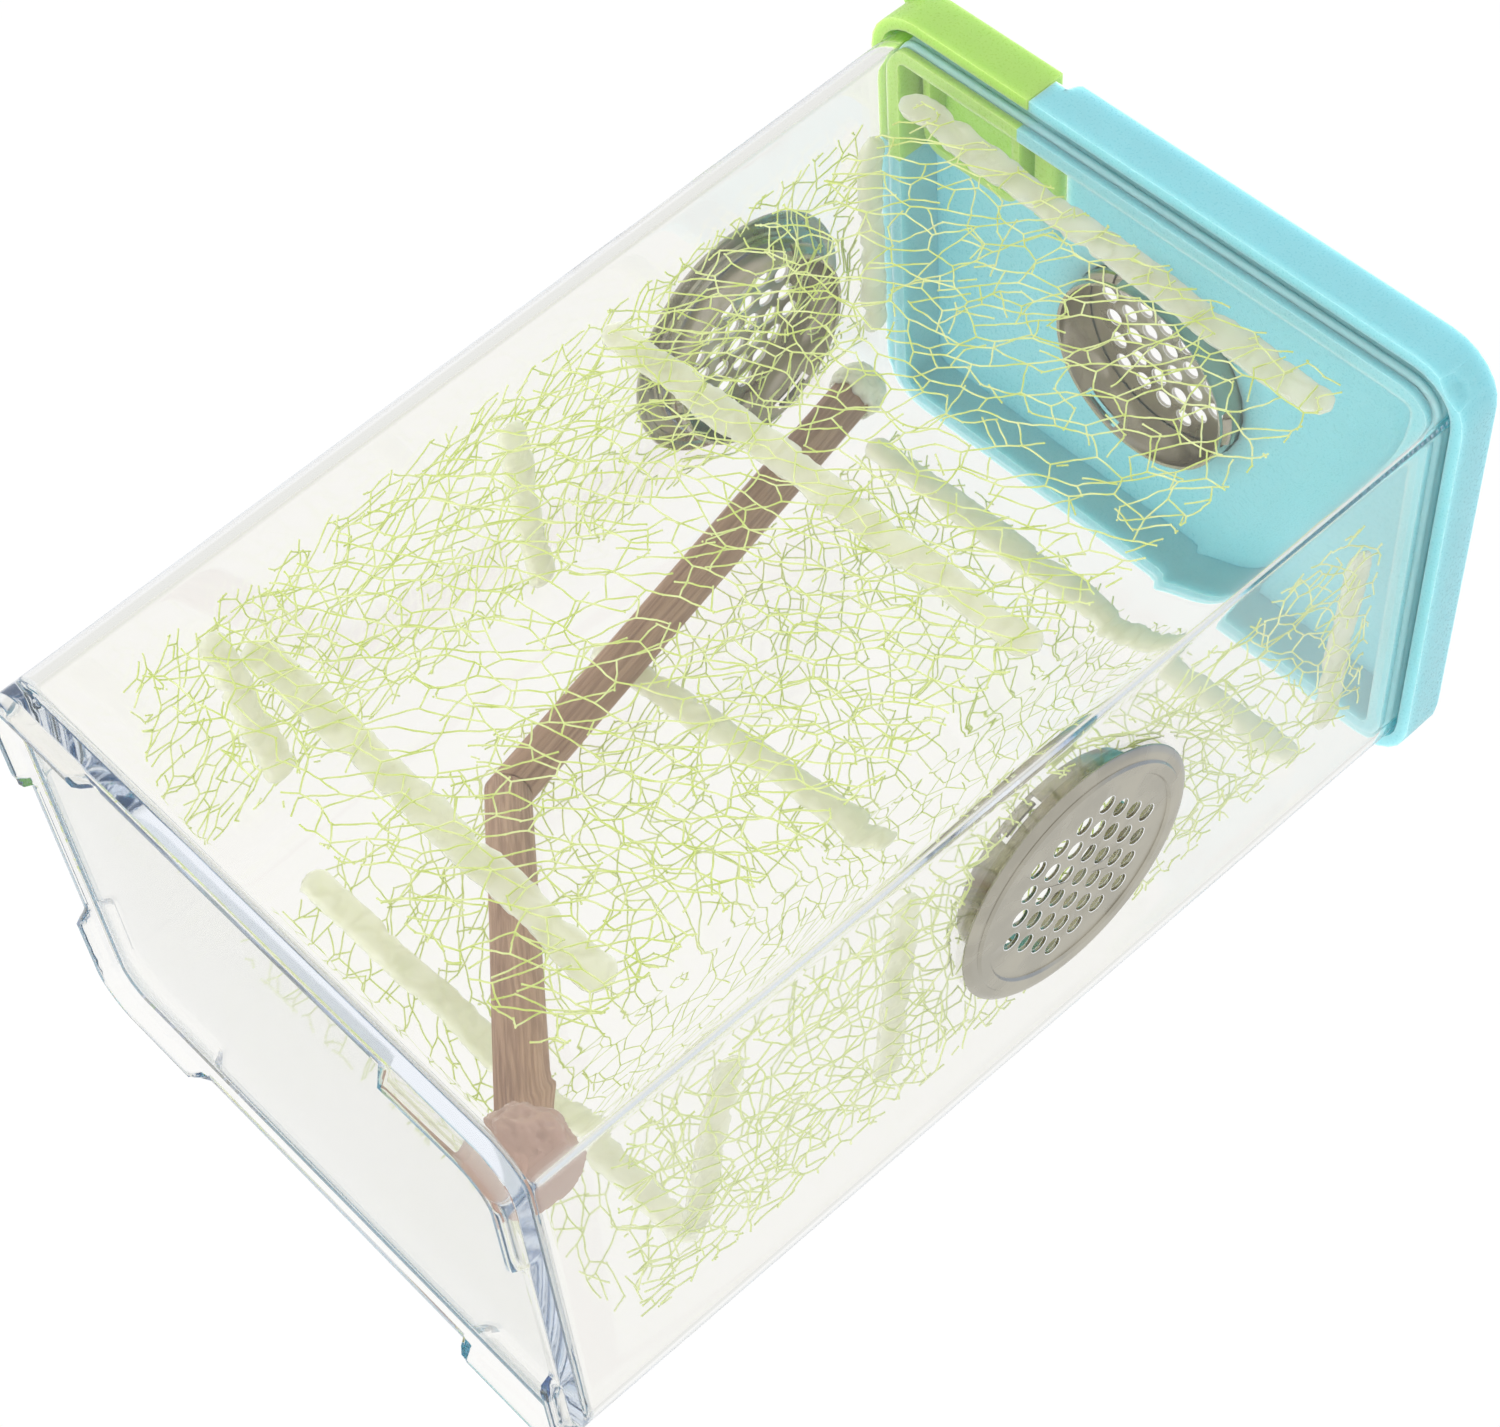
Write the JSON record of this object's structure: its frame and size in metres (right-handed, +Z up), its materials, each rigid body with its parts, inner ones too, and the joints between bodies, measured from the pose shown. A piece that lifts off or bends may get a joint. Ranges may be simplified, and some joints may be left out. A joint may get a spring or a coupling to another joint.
{
  "type": "insect breeding box",
  "caption": "Clear upright breeding box with a blue press-on lid, a green flip-up corner, round steel air vents, climbing net held by glue strips and a wooden perch",
  "frame": {"origin": "Centre of the object's footprint, on the surface that its feet stand on.", "axes": "+Z up through the lid, -Y towards the wide front wall, +X towards the wall with the lower of the two side vents. The green flap is at the front left corner."},
  "size_m": [0.1131, 0.0871, 0.1773],
  "materials": {
    "canister": "clear moulded plastic",
    "lid": "translucent blue, satin",
    "flap": "translucent green, satin",
    "seal": "milky silicone",
    "steel": "satin stainless steel",
    "net": "loose elastic cord",
    "glue": "milky hot-melt glue",
    "brown_glue": "brown hot-melt glue",
    "stick": "rough peeled twig"
  },
  "bodies": {
    "box": {"breeding_box": "canister", "vent_right_plate": "steel", "vent_right_collar": "steel", "vent_left_plate": "steel", "vent_left_collar": "steel", "net_front": "net", "net_back": "net", "net_left": "net", "net_right": "net", "glue_front_low": "glue", "glue_front_middle": "glue", "glue_front_high": "glue", "glue_back_low": "glue", "glue_back_middle": "glue", "glue_back_high": "glue", "glue_left_low": "glue", "glue_left_middle": "glue", "glue_left_high": "glue", "glue_right_low": "glue", "glue_right_middle": "glue", "glue_right_high": "glue", "stick_lower": "stick", "stick_upper": "stick", "glue_perch_foot": "brown_glue", "glue_perch_top": "glue"},
    "lid": {"lid_frame": "lid", "lid_seal": "seal", "vent_lid_plate": "steel", "vent_lid_collar": "steel"},
    "flap": {"corner_flap": "flap"}
  },
  "joints": [
    {"name": "lid_lift", "type": "slide", "parent": "box", "child": "lid", "axis": [0, 0, 1], "range_m": [0, 0.06]},
    {"name": "flap_hinge", "type": "hinge", "parent": "lid", "child": "flap", "pos_m": [-0.024, -0.015, 0.17335], "axis": [0, 1, 0], "range_deg": [0, 110]}
  ]
}
